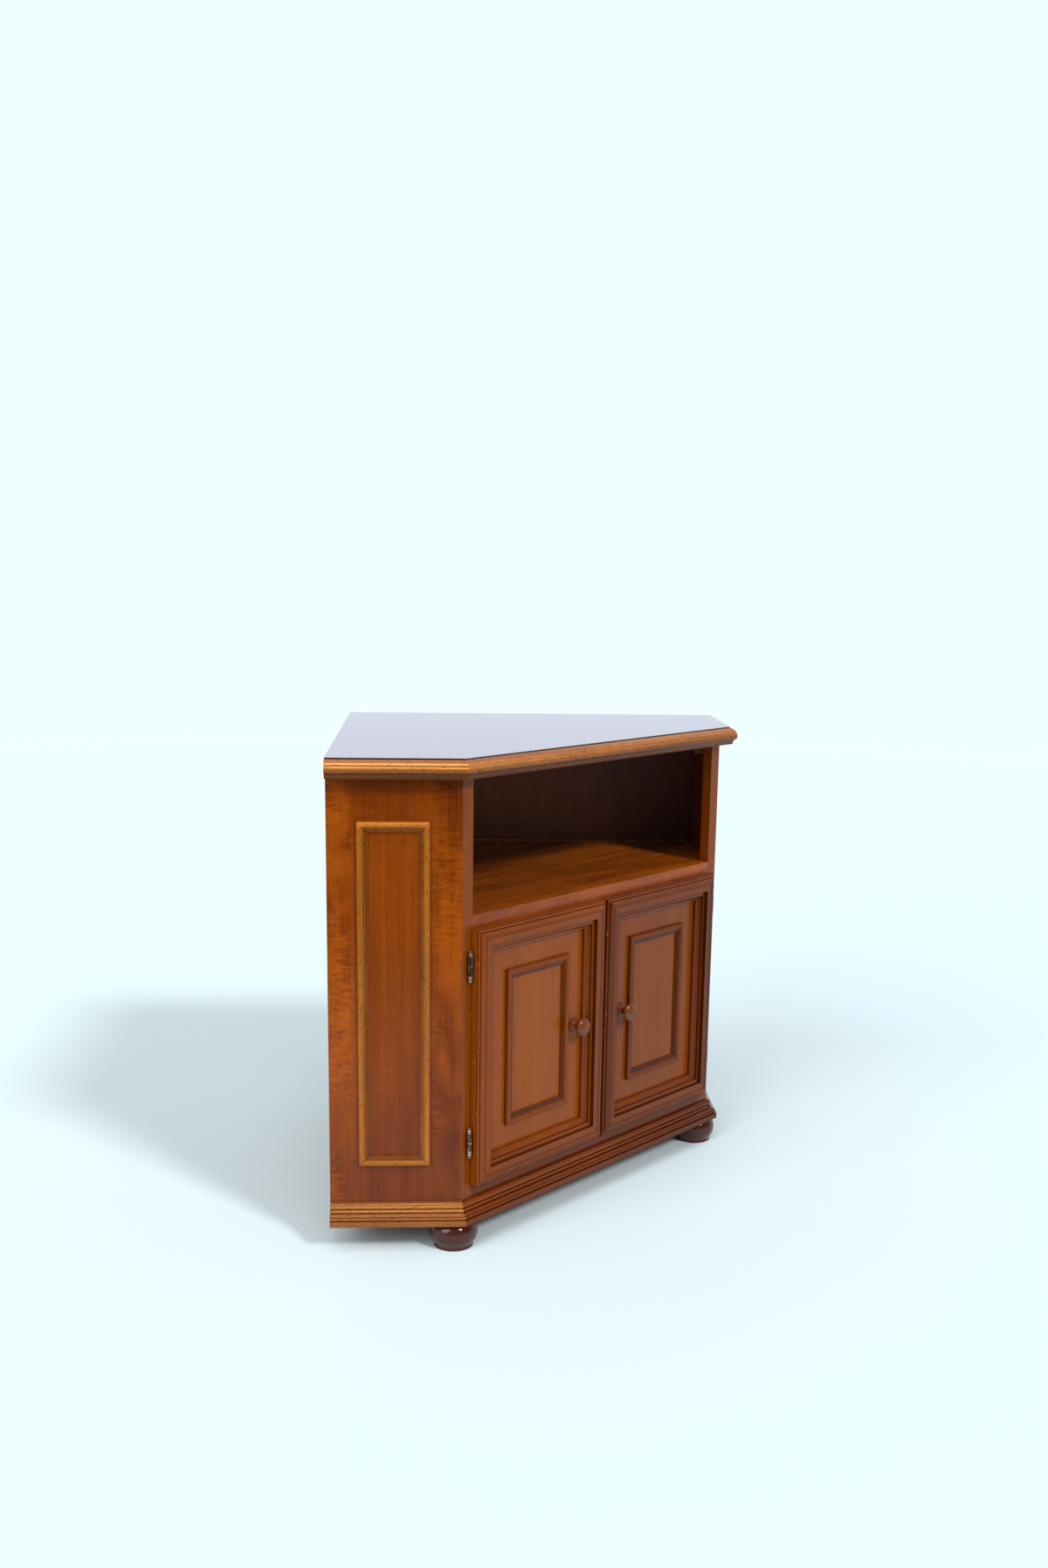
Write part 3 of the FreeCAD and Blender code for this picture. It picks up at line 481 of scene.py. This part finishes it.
def finish_wood(graph, shader, finish, coordinates, shade=None, figure=None, stain=1.0):
    """Lacquered wood in one of the finishes. A stain under 1 darkens all of it, as painted shade on the
    doors, a shade under 1 a part of it, and a figure of 0 leaves out the ripple and clouds."""
    look = dict(FINISHES[finish])
    for tone in ("light", "dark"):
        look[tone] = stained(look[tone], stain)
    if figure:
        for strength in ("ripple", "clouds"):
            look[strength] = graph.multiply(figure, look[strength])
    sockets = ("Light", "Dark", "Streaks", "Ripple", "Clouds", "Pores")
    inputs = {socket: look[socket.lower()] for socket in sockets}
    grain = graph.group(WOOD_GRAIN, {"Coordinates": coordinates, **inputs})
    color = grain["Color"]
    if shade:
        powers = zip(("Red", "Green", "Blue"), STAIN_POWERS)
        parts = {part: graph.math("POWER", shade, power) for part, power in powers}
        tint = graph.node("ShaderNodeCombineColor", parts).outputs[0]
        color = graph.blend(1.0, color, tint, mode="MULTIPLY")
    graph.feed(shader.inputs["Base Color"], color)
    shader.inputs["Roughness"].default_value = look["roughness"]
    shader.inputs["Specular IOR Level"].default_value = look.get("gloss", LACQUER_GLOSS)
    bump = graph.node("ShaderNodeBump", {"Height": grain["Height"], "Distance": BUMP_HEIGHT})
    graph.feed(shader.inputs["Normal"], bump.outputs[0])


def groove_shade(graph, distance, lines):
    """Lines of stain at several distances, given as place, half width and depth."""
    shade = None
    for place, half_width, depth in lines:
        inputs = {"Distance": distance, "Place": place, "Half Width": half_width, "Depth": depth}
        line = graph.group(GROOVE_LINE, inputs)["Shade"]
        shade = line if shade is None else graph.multiply(shade, line)
    return shade


def straight_wood(name, finish, turn, stain=1.0):
    """Wood with straight grain. A stain under 1 darkens it, as painted shade on the doors."""
    material, graph, shader = new_material(name)
    finish_wood(graph, shader, finish, turned_coordinates(graph, turn), stain=stain)
    return material


def height_and_depth(graph):
    """The height of a spot over the floor, and how far it is from the nearer wall of the room."""
    spot = graph.parts(graph.own_coordinates())
    reach = graph.math("ADD", graph.math("ABSOLUTE", spot["X"]), spot["Y"])
    depth = graph.math("DIVIDE", graph.math("SUBTRACT", cad_high.y, reach), math.sqrt(2))
    return spot["Z"], depth


def back_wood():
    """Plain backs. Their inner faces are darker towards the sides, in painted shade, and a thin light line
    runs along the shelf."""
    material, graph, shader = new_material("back_board")
    shelf_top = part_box("shelf_board")[1].z
    height, depth = height_and_depth(graph)
    # A thin lighter line along the shelf
    shelf_line = groove_shade(graph, graph.math("SUBTRACT", height, shelf_top), [SHELF_LINE])
    across = graph.math("ABSOLUTE", graph.parts(graph.own_coordinates())["X"])
    start, end = (cad_high.x * share for share in BACK_PAINTED_SHADE_SHARES)
    # Painted shade: darker towards the sides of the niche
    painted_side_shade = graph.span(across, start, end, 1.0, BACK_PAINTED_SHADE)
    inside = graph.span(depth, *BACK_FACE_DEPTHS)
    shade = graph.math("POWER", graph.multiply(shelf_line, painted_side_shade), inside)
    finish_wood(graph, shader, "back_board", turned_coordinates(graph, ALONG_Z), shade)
    return material


def board_wood(node, finish, edge_shade, coat, painted_wall_light=1.0):
    """Wood of a level board: a coated upper face, and front edges of another shade. It can be lighter
    towards the walls, as painted light."""
    material, graph, shader = new_material(node)
    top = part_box(node)[1].z
    height, depth = height_and_depth(graph)
    on_face = graph.span(height, *(top - below for below in BOARD_FACE_DEPTHS))
    at_back = graph.span(depth, *BACK_FACE_DEPTHS, 1.0, 0.0)
    shade = graph.span(graph.math("MAXIMUM", on_face, at_back), 0.0, 1.0, edge_shade, 1.0)
    if painted_wall_light > 1.0:
        # Painted light: lighter towards the walls
        shade = graph.multiply(shade, graph.span(depth, *PAINTED_WALL_LIGHT_DEPTHS, painted_wall_light, 1.0))
    finish_wood(graph, shader, finish, turned_coordinates(graph, ALONG_X), shade)
    graph.feed(shader.inputs["Coat Weight"], graph.multiply(on_face, coat))
    return material


def edge_wood(name, finish, turn, level, painted_highlight, right_painted_shade=1.0):
    """Wood of the top or the base moulding: lines of stain and painted shade where its profile steps,
    lines of painted highlight, and painted shade below and towards the right."""
    material, graph, shader = new_material(name)
    low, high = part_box(f"{level}_molding_front")

    def heights(shares):
        return [low.z + (high.z - low.z) * share for share in shares[level]]

    place = graph.parts(graph.own_coordinates())
    lines = [(spot, EDGE_LINE_HALF_WIDTH, EDGE_LINE_DEPTH) for spot in heights(EDGE_LINE_SHARES)]
    # Painted highlights: lighter lines on the rounds
    lines += [(spot, HIGHLIGHT_LINE_HALF_WIDTH, -painted_highlight[level]) for spot in heights(EDGE_HIGHLIGHT_SHARES)]
    shade = groove_shade(graph, place["Z"], lines)
    # Painted shade on the lower faces, which turn down
    below = graph.span(place["Z"], *heights(EDGE_PAINTED_SHADE_SHARES), EDGE_PAINTED_SHADE[level], 1.0)
    shade = graph.multiply(shade, below)
    # Painted shade: darker towards the right
    if right_painted_shade < 1.0:
        to_right = graph.span(place["X"], low.x * BASE_RIGHT_START_SHARE, high.x, 1.0, right_painted_shade)
        shade = graph.multiply(shade, to_right)
    finish_wood(graph, shader, finish, turned_coordinates(graph, turn), shade)
    return material


def frame_strips(graph, turn, low, high):
    """The strips of a frame whose outer corners are low and high, across and up."""
    inputs = {
        "Coordinates": turned_coordinates(graph, turn),
        "Middle X": (low.x + high.x) / 2, "Middle Z": (low.z + high.z) / 2,
        "Half Width": (high.x - low.x) / 2, "Half Height": (high.z - low.z) / 2,
    }
    return graph.group(MITRED_FRAME, inputs)


def chip_shade(graph, coordinates, inset):
    """Small chips along an outer edge, where lighter wood shows."""
    chips = graph.span(graph.noise(graph.stretch(coordinates, CHIP_SCALE), detail=1), *CHIP_SPAN)
    at_edge = graph.span(inset, *CHIP_REACH, CHIP_LIGHTNESS, 0.0)
    return graph.math("ADD", 1.0, graph.multiply(chips, at_edge))


def mitred_wood(name, finish, turn, low, high, lines, stain=1.0, chipped=False, painted_top_highlight=False):
    """Wood for a frame of mitred strips, with lines of stain at the given distances from its outer edge.
    A stain under 1 darkens it all, as painted shade on the doors. A painted highlight makes it lighter
    along its upper edge."""
    material, graph, shader = new_material(name)
    strips = frame_strips(graph, turn, low, high)
    shade = groove_shade(graph, strips["Inset"], lines)
    shade = graph.multiply(shade, groove_shade(graph, strips["Miter"], [MITER_LINE]))
    # Painted highlight: lighter along the upper edge, where light from above falls
    if painted_top_highlight:
        height, _ = height_and_depth(graph)
        start, end = high.z - TOP_HIGHLIGHT_DEPTH, high.z - TOP_HIGHLIGHT_DEPTH / 2
        shade = graph.multiply(shade, graph.span(height, start, end, 1.0, TOP_HIGHLIGHT_LIGHTNESS))
    if chipped:
        shade = graph.multiply(shade, chip_shade(graph, strips["Grain"], strips["Inset"]))
    finish_wood(graph, shader, finish, strips["Grain"], shade, stain=stain)
    return material


def side_wood(name, turn, low, high):
    """Upright veneer of a side: rippled beside the applied frame, lighter near the wall, and darker at
    both ends, in painted shade towards the floor and below the top moulding."""
    material, graph, shader = new_material(name)
    inset = frame_strips(graph, turn, low, high)["Side Inset"]
    figure = graph.span(inset, *PLAIN_FIGURE_INSETS, 1.0, PLAIN_FIGURE)
    height, depth = height_and_depth(graph)
    foot, knee = (cad_high.z * share for share in FOOT_PAINTED_SHADE_SHARES)
    neck, head = (cad_high.z * share for share in HEAD_PAINTED_SHADE_SHARES)
    # Painted shade: darker towards the floor
    shade = graph.span(height, foot, knee, FOOT_PAINTED_SHADE, 1.0)
    shade = graph.multiply(shade, graph.span(depth, *WALL_SIDE_DEPTHS, WALL_SIDE_LIGHTNESS, 1.0))
    # Painted shade: darker below the top moulding
    shade = graph.multiply(shade, graph.span(height, neck, head, 1.0, HEAD_PAINTED_SHADE))
    finish_wood(graph, shader, "side_veneer", turned_coordinates(graph, ALONG_Z), shade, figure)
    return material


def metal(name):
    """Metal with lighter, smoother patches where hands have worn it."""
    material, graph, shader = new_material(name)
    look = METALS[name]
    roughness = look["roughness"]
    patches = graph.noise(graph.stretch(graph.own_coordinates(), METAL_WEAR_SCALE), detail=3)
    wear = graph.span(patches, *METAL_WEAR_SPAN)
    graph.feed(shader.inputs["Base Color"], graph.blend(wear, look["color"], look["worn"]))
    worn_roughness = roughness * WORN_ROUGHNESS_SHARE
    graph.feed(shader.inputs["Roughness"], graph.span(wear, 0.0, 1.0, roughness, worn_roughness))
    shader.inputs["Metallic"].default_value = 1.0
    return material


def catch_plastic():
    """Brown moulded plastic with a fine speckle."""
    material, graph, shader = new_material("catch_plastic")
    speckle = graph.noise(graph.stretch(graph.own_coordinates(), CATCH_SPECKLE_SCALE), detail=2)
    graph.feed(shader.inputs["Base Color"], graph.blend(speckle, *CATCH_COLORS))
    shader.inputs["Roughness"].default_value = CATCH_ROUGHNESS
    return material


# Pieces

def dress(material, *names):
    for name in names:
        slots = nodes[name].data.materials
        slots.clear()
        slots.append(material)


def extent(names, turn_angle=0.0):
    """The lowest and highest corners of several nodes, after a turn about Z."""
    turn = Matrix.Rotation(turn_angle, 3, "Z")
    spots = [turn @ vertex.co for name in names for vertex in nodes[name].data.vertices]
    low = Vector([min(spot[axis] for spot in spots) for axis in range(3)])
    high = Vector([max(spot[axis] for spot in spots) for axis in range(3)])
    return low, high


def dress_sides():
    for side, angle in SIDE_ANGLES.items():
        turn = (0, 0, angle)
        strips = f"side_molding_{side}"
        low, high = extent([strips], angle)
        dress(side_wood(f"side_veneer_{side}", turn, low, high), f"side_panel_{side}")
        dress(mitred_wood(strips, "golden_molding", turn, low, high, STRIP_LINES, painted_top_highlight=True), strips)
        for level in ("top", "base"):
            edge = f"{level}_molding_{side}"
            dress(edge_wood(edge, "golden_edge", turn, level, SIDE_HIGHLIGHT), edge)
        dress(straight_wood(f"post_{side}", "front_wood", ALONG_Z), f"front_post_{side}")


def dress_case():
    top_edge, base_edge = "top_molding_front", "base_molding_front"
    dress(edge_wood(top_edge, "front_molding", ALONG_X, "top", FRONT_HIGHLIGHT), top_edge)
    dress(edge_wood(base_edge, "front_wood", ALONG_X, "base", FRONT_HIGHLIGHT, BASE_RIGHT_PAINTED_SHADE), base_edge)
    for board, look in BOARDS.items():
        dress(board_wood(board, **look), board)
    inner = straight_wood("inner_wood", "inner_wood", ALONG_X)
    dress(inner, "corner_post", "base_front_rail")
    for side in SIDE_ANGLES:
        dress(inner, f"top_cleat_{side}", f"shelf_cleat_{side}", f"base_side_rail_{side}",
              f"base_back_rail_{side}")
    dress(back_wood(), "back_panel_left", "back_panel_right")


def dress_doors():
    for side, stain in DOOR_PAINTED_SHADE.items():
        # Painted shade: the right door, and some stiles of each door, are darker
        members = {f"{side}_door_{name}": darkness for name, darkness in MEMBER_PAINTED_SHADE[side].items()}
        low, high = extent(members)
        for member, darkness in members.items():
            wood = mitred_wood(member, "door_frame", ALONG_X, low, high, DOOR_FRAME_LINES,
                               stain * darkness, chipped=True)
            dress(wood, member)
        dress(straight_wood(f"{side}_door_panel", "door_veneer", ALONG_Z, stain), f"{side}_door_panel")
        strips = f"{side}_door_panel_molding"
        low, high = extent([strips])
        wood = mitred_wood(f"{side}_door_molding", "front_wood", ALONG_X, low, high, STRIP_LINES, stain)
        dress(wood, strips)
        dress(straight_wood(f"{side}_knob", "turned_wood", ALONG_X), f"{side}_door_knob")


def dress_feet():
    foot = straight_wood("bun_foot", "foot_wood", ALONG_Z)
    dress(foot, "front_foot_left", "front_foot_right", "rear_feet")


def dress_fittings():
    bronze = metal("bronze")
    rubbed_bronze = metal("rubbed_bronze")
    steel = metal("steel")
    for side in SIDE_ANGLES:
        dress(bronze, f"hinge_frame_leaves_{side}", f"hinge_frame_screws_{side}",
              f"{side}_door_hinge_leaves", f"{side}_door_hinge_screws")
        dress(rubbed_bronze, f"hinge_pins_{side}")
        dress(steel, f"{side}_door_knob_screw", f"{side}_door_strike_plate")
    dress(catch_plastic(), "door_catch_left", "door_catch_right")


def nail_row(start, end):
    """Evenly spaced places for nails from start to end, at most about a nail gap apart."""
    steps = math.ceil((end - start) / NAIL_GAP)
    return [start + (end - start) * step / steps for step in range(steps + 1)]


def add_back_nails():
    """Small nail heads on the thin backs: along their upright edges, and into the shelf and the bottom."""
    shape = bmesh.new()
    levels = [sum(corner.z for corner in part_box(board)) / 2 for board in ("shelf_board", "bottom_board")]
    for side, angle in SIDE_ANGLES.items():
        low, high = extent([f"back_panel_{side}"], angle)
        face = low.x if side == "left" else high.x
        outwards = -math.pi / 2 if side == "left" else math.pi / 2
        near, far = low.y + NAIL_EDGE, high.y - NAIL_EDGE
        column = nail_row(levels[1], high.z - NAIL_EDGE)
        spots = [(along, height) for along in (near, far) for height in column]
        spots += [(along, height) for height in levels for along in nail_row(near, far)[1:-1]]
        turn_back = Matrix.Rotation(-angle, 4, "Z")
        tilt = Matrix.Rotation(outwards, 4, "Y")
        for along, height in spots:
            place = turn_back @ Matrix.Translation((face, along, height)) @ tilt
            bmesh.ops.create_cone(shape, cap_ends=True, segments=NAIL_SIDES, radius1=NAIL_RADIUS,
                                  radius2=NAIL_TOP_RADIUS, depth=NAIL_THICKNESS, matrix=place)
    mesh = bpy.data.meshes.new("back_nails")
    shape.to_mesh(mesh)
    shape.free()
    mesh.materials.append(metal("nail_steel"))
    nails = bpy.data.objects.new("back_nails", mesh)
    bpy.context.collection.objects.link(nails)
    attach(nails, "cabinet")


# Stage

def add_camera():
    camera = bpy.data.cameras.new("camera")
    camera.lens = camera.sensor_width * FOCAL_PIXELS / IMAGE_HEIGHT
    camera.shift_y = (OPTICAL_ROW - IMAGE_MIDDLE_ROW) / IMAGE_HEIGHT
    seat = bpy.data.objects.new("camera", camera)
    turn = Matrix.Rotation(-CAMERA_HEADING, 4, "Z")
    tilt = Matrix.Rotation(math.pi / 2 + CAMERA_PITCH, 4, "X")
    roll = Matrix.Rotation(CAMERA_ROLL, 4, "Z")
    seat.matrix_world = Matrix.Translation(CAMERA_PLACE) @ turn @ tilt @ roll
    bpy.context.collection.objects.link(seat)
    bpy.context.scene.camera = seat


def add_lamps():
    for name, lamp in LAMPS.items():
        sun = bpy.data.lights.new(name, "SUN")
        sun.energy = lamp["strength"]
        sun.angle = math.radians(lamp["spread"])
        holder = bpy.data.objects.new(name, sun)
        turn = Matrix.Rotation(math.radians(lamp["azimuth"]), 4, "Z")
        tilt = Matrix.Rotation(math.pi / 2 - math.radians(lamp["elevation"]), 4, "X")
        holder.matrix_world = turn @ tilt
        bpy.context.collection.objects.link(holder)


def add_room():
    """Pale surroundings: full strength where they are seen, dimmer on one side where they are reflected,
    and a soft fill elsewhere."""
    world = bpy.data.worlds.new("room")
    world.use_nodes = True
    world.node_tree.nodes.clear()
    graph = Graph(world.node_tree)
    path = graph.node("ShaderNodeLightPath").outputs
    mirrored = graph.math("MAXIMUM", path["Is Glossy Ray"], path["Is Transmission Ray"])
    heading = graph.node("ShaderNodeTexCoord").outputs["Generated"]
    dimness = graph.span(graph.dot(heading, DIM_ROOM_SIDE), *DIM_ROOM_SPAN)
    mirror_color = graph.blend(dimness, MIRRORED_ROOM_COLOR, DIM_ROOM_COLOR)
    fill = graph.node("ShaderNodeBackground", {"Color": ROOM_COLOR, "Strength": ROOM_FILL}).outputs[0]
    mirror = graph.node("ShaderNodeBackground", {"Color": mirror_color, "Strength": 1.0}).outputs[0]
    seen = graph.node("ShaderNodeBackground", {"Color": ROOM_COLOR, "Strength": 1.0}).outputs[0]
    mix = graph.node("ShaderNodeMixShader", {0: mirrored, 1: fill, 2: mirror}).outputs[0]
    mix = graph.node("ShaderNodeMixShader", {0: path["Is Camera Ray"], 1: mix, 2: seen}).outputs[0]
    graph.node("ShaderNodeOutputWorld", {"Surface": mix})
    bpy.context.scene.world = world


def pale_floor():
    """A pale floor that fades into the room's colour far away, and is dim far out on the dim side of the
    room where it is reflected."""
    material, graph, shader = new_material("pale_floor")
    shader.inputs["Base Color"].default_value = FLOOR_COLOR
    shader.inputs["Roughness"].default_value = FLOOR_ROUGHNESS
    shader.inputs["Specular IOR Level"].default_value = FLOOR_GLOSS
    spot = graph.own_coordinates()
    path = graph.node("ShaderNodeLightPath").outputs
    away = graph.node("ShaderNodeVectorMath", {0: spot}, operation="LENGTH").outputs["Value"]
    faded = graph.span(away, *FLOOR_FADE_SPAN)
    far = graph.node("ShaderNodeEmission", {"Color": ROOM_COLOR, "Strength": 1.0}).outputs[0]
    mix = graph.node("ShaderNodeMixShader", {0: faded, 1: shader.outputs[0], 2: far}).outputs[0]
    dim_side = graph.span(graph.dot(spot, DIM_FLOOR_SIDE), *DIM_FLOOR_SPAN)
    dimmed = graph.multiply(dim_side, path["Is Glossy Ray"])
    dim = graph.node("ShaderNodeEmission", {"Color": DIM_FLOOR_COLOR, "Strength": 1.0}).outputs[0]
    mix = graph.node("ShaderNodeMixShader", {0: dimmed, 1: mix, 2: dim}).outputs[0]
    graph.feed(graph.tree.nodes["Material Output"].inputs["Surface"], mix)
    return material


def add_floor():
    shape = bmesh.new()
    bmesh.ops.create_grid(shape, x_segments=1, y_segments=1, size=FLOOR_REACH)
    mesh = bpy.data.meshes.new("floor")
    shape.to_mesh(mesh)
    shape.free()
    floor = bpy.data.objects.new("floor", mesh)
    bpy.context.collection.objects.link(floor)
    mesh.materials.append(pale_floor())


bpy.context.scene.view_settings.view_transform = "Standard"
add_camera()
add_lamps()
add_room()
add_floor()
dress_sides()
dress_case()
dress_doors()
dress_feet()
dress_fittings()
add_back_nails()
